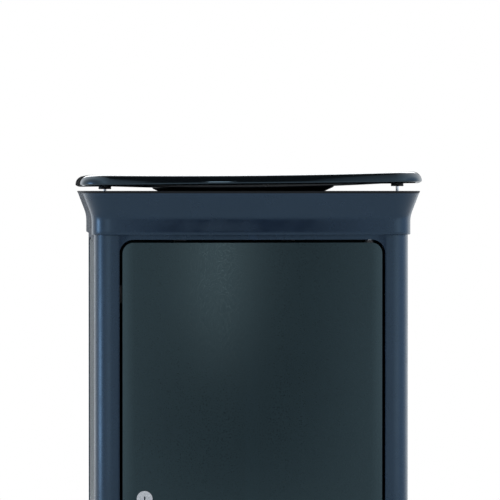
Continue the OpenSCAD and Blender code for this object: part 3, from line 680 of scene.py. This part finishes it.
def bevel_rings(inset, down, z, angles):
    """The lid's rounded edge, from its tip at height z up into the dished top."""
    rings = []
    for a in angles:
        o = LID_OUT - inset - BEVEL_W * (1 - math.cos(a))
        rings.append([(x, y, z + (top_z(x, down) - z) * math.sin(a)) for x, y in outline(o)])
    return rings


def make_lid_top():
    """The glossy cover: a rolled edge, a rounded rim, a dished top and a seat for the tray."""
    floor = LID_PIVOT_Z - ROLL_H
    inner_edge, seat, field = PAN_OUT + PAN_GAP, SEAT_R + 1.5 * MM, -30 * MM
    boss = seat + 3 * MM
    steps = [math.pi / 2 * i / 14 for i in range(15)]
    rings = [plan_ring(inner_edge, floor + 0.4 * MM), plan_ring(inner_edge + 0.6 * MM, floor)]
    rings += [plan_ring(LID_OUT - x * MM, floor + h * MM) for x, h in LID_ROLL]
    rings += bevel_rings(0, 0, LID_PIVOT_Z, steps)
    rings += [plan_ring(-2 * MM, top_z), plan_ring(field, top_z)]
    rings += [round_ring(seat + 25 * MM, top_z), round_ring(seat + 0.6 * MM, top_z)]
    rings += [round_ring(seat, lambda x: top_z(x, 0.6 * MM)), round_ring(seat, SEAT_Z)]
    rings += [round_ring(HOLE_R, SEAT_Z)]
    rings += [round_ring(r, lambda x: under_z(x, PAN_T + PAN_OVER)) for r in (HOLE_R, boss)]
    rings += [round_ring(boss, lambda x: top_z(x, LID_WALL)), plan_ring(field, lambda x: top_z(x, LID_WALL))]
    rings += bevel_rings(LID_WALL, LID_WALL, LID_PIVOT_Z + ROLL_T, reversed(steps[::2]))
    rings += [plan_ring(LID_OUT - 6 * MM - LID_WALL, floor + ROLL_T), plan_ring(inner_edge, floor + ROLL_T)]
    bm = bmesh.new()
    add_rings(bm, rings)
    place(leaned(new_object("lid_cover", bm, 40)), "lid_top", "lid", "lid_gloss")


def make_lid_pan():
    """The satin underside, turned up at its edge, with the tray's hole in the middle."""
    top, lip, ease = LID_PIVOT_Z - PAN_GAP, 2.4 * MM, HOLE_R + 25 * MM
    rings = [plan_ring(PAN_OUT, top), plan_ring(PAN_OUT, lambda x: under_z(x, lip))]
    for k in (0.3, 0.6, 0.85, 1.0):
        a = k * math.pi / 2
        plan = outline(PAN_OUT - lip * (1 - math.cos(a)))
        rings.append([(x, y, under_z(x, lip * (1 - math.sin(a)))) for x, y in plan])
    rings += [plan_ring(INNER_OFFSET, under_z), round_ring(ease, under_z), round_ring(HOLE_R, under_z)]
    rings += [round_ring(r, lambda x: under_z(x, PAN_T)) for r in (HOLE_R, ease)]
    rings += [plan_ring(PAN_OUT - PAN_T, lambda x: under_z(x, PAN_T)), plan_ring(PAN_OUT - PAN_T, top)]
    bm = bmesh.new()
    add_rings(bm, rings)
    place(leaned(new_object("lid_underpan", bm, 40)), "lid_pan", "lid", "lid_satin")


TRAY_EDGE_Z = UNDER_MID + 0.5 * MM  # underside of the tray's bowl at its outer edge
TRAY_LEDGE_Z = TRAY_EDGE_Z + 5.5 * MM
TRAY_FLOOR_T = 3.3 * MM
THROAT_WALL = 3.5 * MM


def tray_under(r):
    """Height of the bowl's underside at a radius."""
    return TRAY_EDGE_Z - (TRAY_R - r) * math.tan(TRAY_SLOPE)


def tray_floor(r, up=0.0):
    """A point on the gutter's floor, or above it."""
    return r, tray_under(r) + TRAY_FLOOR_T + up


def tray_rim():
    """From the rim's outer edge over its top and down to the ledge that carries the grid."""
    top = SEAT_Z + 3.5 * MM
    return [(SEAT_R, top - 1.2 * MM), (SEAT_R - 0.35 * MM, top - 0.35 * MM), (SEAT_R - 1.2 * MM, top),
            (TRAY_R - 2.2 * MM, top), (TRAY_R - 2.8 * MM, top - 0.3 * MM),
            (TRAY_R - 3.1 * MM, top - 1.0 * MM), (TRAY_R - 4.0 * MM, TRAY_LEDGE_Z),
            (TRAY_R - 12.5 * MM, TRAY_LEDGE_Z)]


def tray_gutter():
    """Down from the ledge, across the floor and up to the throat's own ledge."""
    wall = TRAY_R - 13 * MM
    foot = THROAT_R + 8 * MM
    return [(TRAY_R - 12.8 * MM, tray_floor(wall, 1.5 * MM)[1]), tray_floor(TRAY_R - 14.2 * MM, 0.2 * MM),
            tray_floor(foot + 1.2 * MM), tray_floor(foot, 1.0 * MM),
            (foot, TRAY_LEDGE_Z), (THROAT_R + 5.5 * MM, TRAY_LEDGE_Z)]


def tray_throat(low):
    """Over the throat's rounded lip, down its bore and round its lower edge."""
    return [(THROAT_R + 4.2 * MM, SEAT_Z - 1.0 * MM), (THROAT_R + 3.6 * MM, SEAT_Z - 0.25 * MM),
            (THROAT_R + 2.8 * MM, SEAT_Z), (THROAT_R + 1.4 * MM, SEAT_Z - 0.1 * MM),
            (THROAT_R + 0.4 * MM, SEAT_Z - 0.7 * MM), (THROAT_R, SEAT_Z - 1.9 * MM),
            (THROAT_R, low + 0.6 * MM), (THROAT_R + 0.6 * MM, low), (THROAT_R + 2.4 * MM, low),
            (THROAT_R + 3 * MM, low + 0.6 * MM)]


def tray_underside(throat_in):
    """Out along the bowl's underside and up to the rim's seat."""
    seat = SEAT_Z + 0.2 * MM
    return [(throat_in, tray_under(throat_in) - 0.5 * MM),
            (throat_in + 1.5 * MM, tray_under(throat_in + 1.5 * MM)),
            (TRAY_R - 1.5 * MM, tray_under(TRAY_R - 1.5 * MM)), (TRAY_R, TRAY_EDGE_Z + 1.2 * MM),
            (TRAY_R, seat), (SEAT_R, seat)]


def make_ash_tray():
    """The turned bowl: a rim, a gutter for ash and the litter throat in its middle."""
    throat_in = THROAT_R + THROAT_WALL
    low = tray_under(throat_in) - 20 * MM
    profile = tray_rim() + tray_gutter() + tray_throat(low) + tray_underside(throat_in)
    tray = turned("ash_bowl", profile, 128, 35)
    place(leaned(tray), "ash_tray", "ash_tray", "tray_paint")


# ---- Stage ----

FLOOR_R = 4.8


def make_stage():
    """A plain pale floor."""
    bpy.ops.mesh.primitive_circle_add(vertices=96, radius=FLOOR_R, fill_type="NGON")
    floor = bpy.context.object
    floor.name = "floor"
    m = Nodes("floor")
    grain = m.ranged(m.noise(3, 4.0), 0.0, 1.0)
    m.set(Base_Color=m.mix(grain, (0.93, 0.93, 0.92, 1.0), (0.95, 0.95, 0.94, 1.0)), Roughness=0.9)
    floor.data.materials.append(m.material)


def soft_box(name, place_at, aim, size, watts):
    """A rectangular light, aimed at a point."""
    light = bpy.data.lights.new(name, "AREA")
    light.shape, light.size, light.size_y = "RECTANGLE", size[0], size[1]
    light.energy = watts
    obj = bpy.data.objects.new(name, light)
    obj.location = place_at
    obj.rotation_euler = (Vector(aim) - Vector(place_at)).to_track_quat("-Z", "Y").to_euler()
    bpy.context.scene.collection.objects.link(obj)


# A narrow key that streaks the door and a wide fill behind: name, place, point aimed at, size, watts
LIGHTS = [("key_front", (-0.14, -3.6, 1.70), (0, -0.25, 0.9), (0.22, 1.1), 7.2),
          ("top_fill", (0, 3.6, 3.2), (0, 0, 0.5), (3.2, 2.2), 110)]


def make_lights():
    """The lights, the studio round them and a plain view transform."""
    for light in LIGHTS:
        soft_box(*light)
    make_world()
    bpy.context.scene.view_settings.view_transform = "Standard"


# Radiance of the studio against the sideways part of a direction, -1 to the left and 1 to the right:
# bright walls at both sides, the left one brighter, and a dark gap behind the camera.
STUDIO_PEAK = 9.6
STUDIO = [(-1.0, 0.9), (-0.975, 0.18), (-0.88, 0.11), (-0.57, 0.21), (-0.26, 0.105), (-0.205, 0.047),
          (-0.19, 0.003), (0.21, 0.003), (0.225, 0.040), (0.45, 0.13), (0.80, 0.22), (1.0, 0.16)]
STUDIO_TINT = (0.90, 0.95, 1.0)
SIDE_TINT = (0.58, 0.76, 1.0)               # the walls at the far sides, seen in the glancing edges
SIDE_FROM = 0.9


def studio_colour(tree):
    """Node output with the studio's radiance, banded by how far a direction points sideways."""
    add, link = tree.nodes.new, tree.links.new
    split = add("ShaderNodeSeparateXYZ")
    link(add("ShaderNodeTexCoord").outputs["Generated"], split.inputs[0])
    to_ramp = add("ShaderNodeMapRange")
    link(split.outputs["X"], to_ramp.inputs["Value"])
    to_ramp.inputs["From Min"].default_value = -1.0
    ramp = add("ShaderNodeValToRGB")
    link(to_ramp.outputs["Result"], ramp.inputs["Fac"])
    stops = ramp.color_ramp.elements
    while len(stops) < len(STUDIO):
        stops.new(0.5)
    for stop, (x, level) in zip(stops, STUDIO):
        stop.position = (x + 1) / 2
        tint = SIDE_TINT if abs(x) > SIDE_FROM else STUDIO_TINT
        stop.color = [level * c for c in tint] + [1.0]
    return ramp.outputs["Color"]


def make_world():
    """The studio lights the bin, while the camera sees plain white."""
    world = bpy.data.worlds.new("studio")
    bpy.context.scene.world = world
    world.use_nodes = True
    tree = world.node_tree
    add, link = tree.nodes.new, tree.links.new
    shown = tree.nodes["Background"]
    shown.inputs["Color"].default_value = (1.0, 1.0, 1.0, 1.0)
    lit = add("ShaderNodeBackground")
    link(studio_colour(tree), lit.inputs["Color"])
    lit.inputs["Strength"].default_value = STUDIO_PEAK
    mix = add("ShaderNodeMixShader")
    link(add("ShaderNodeLightPath").outputs["Is Camera Ray"], mix.inputs[0])
    link(lit.outputs[0], mix.inputs[1])
    link(shown.outputs[0], mix.inputs[2])
    link(mix.outputs[0], tree.nodes["World Output"].inputs["Surface"])


CAMERA_AZIMUTH = math.radians(-3.75)
CAMERA_DISTANCE = 6.0
CAMERA_OVER_TRIM = 1.5 * MM
FOCAL_PX, PICTURE_PX = 3505.0, 500  # focal length and picture width, in the same unit
AIM_DOWN_PX = 60.0
AIM_RIGHT = 11.8 * MM
CLIP_END = 60


def make_camera():
    """A long lens, level with the gap under the lid and a little to the left of the front."""
    right = Vector((math.cos(CAMERA_AZIMUTH), math.sin(CAMERA_AZIMUTH), 0))
    back = Vector((math.sin(CAMERA_AZIMUTH), -math.cos(CAMERA_AZIMUTH), 0))
    eye = back * CAMERA_DISTANCE + Vector((0, 0, trim_hi.z + CAMERA_OVER_TRIM))
    drop = AIM_DOWN_PX / FOCAL_PX * CAMERA_DISTANCE
    target = Vector((0, 0, eye.z - drop)) + right * AIM_RIGHT
    data = bpy.data.cameras.new("camera")
    data.lens = FOCAL_PX / PICTURE_PX * data.sensor_width
    data.clip_end = CLIP_END
    camera = bpy.data.objects.new("camera", data)
    camera.location = eye
    camera.rotation_euler = (target - eye).to_track_quat("-Z", "Y").to_euler()
    bpy.context.scene.collection.objects.link(camera)
    bpy.context.scene.camera = camera


paint_cad_nodes()
make_body_shell()
make_plinth()
make_side_panel("left_infill", "left_panel", -1)
make_side_panel("right_infill", "right_panel", 1)
make_rear_panel()
make_collar()
make_rim_trim()
make_rest_pads()
make_door()
make_lid_top()
make_lid_pan()
make_ash_tray()
make_stage()
make_lights()
make_camera()
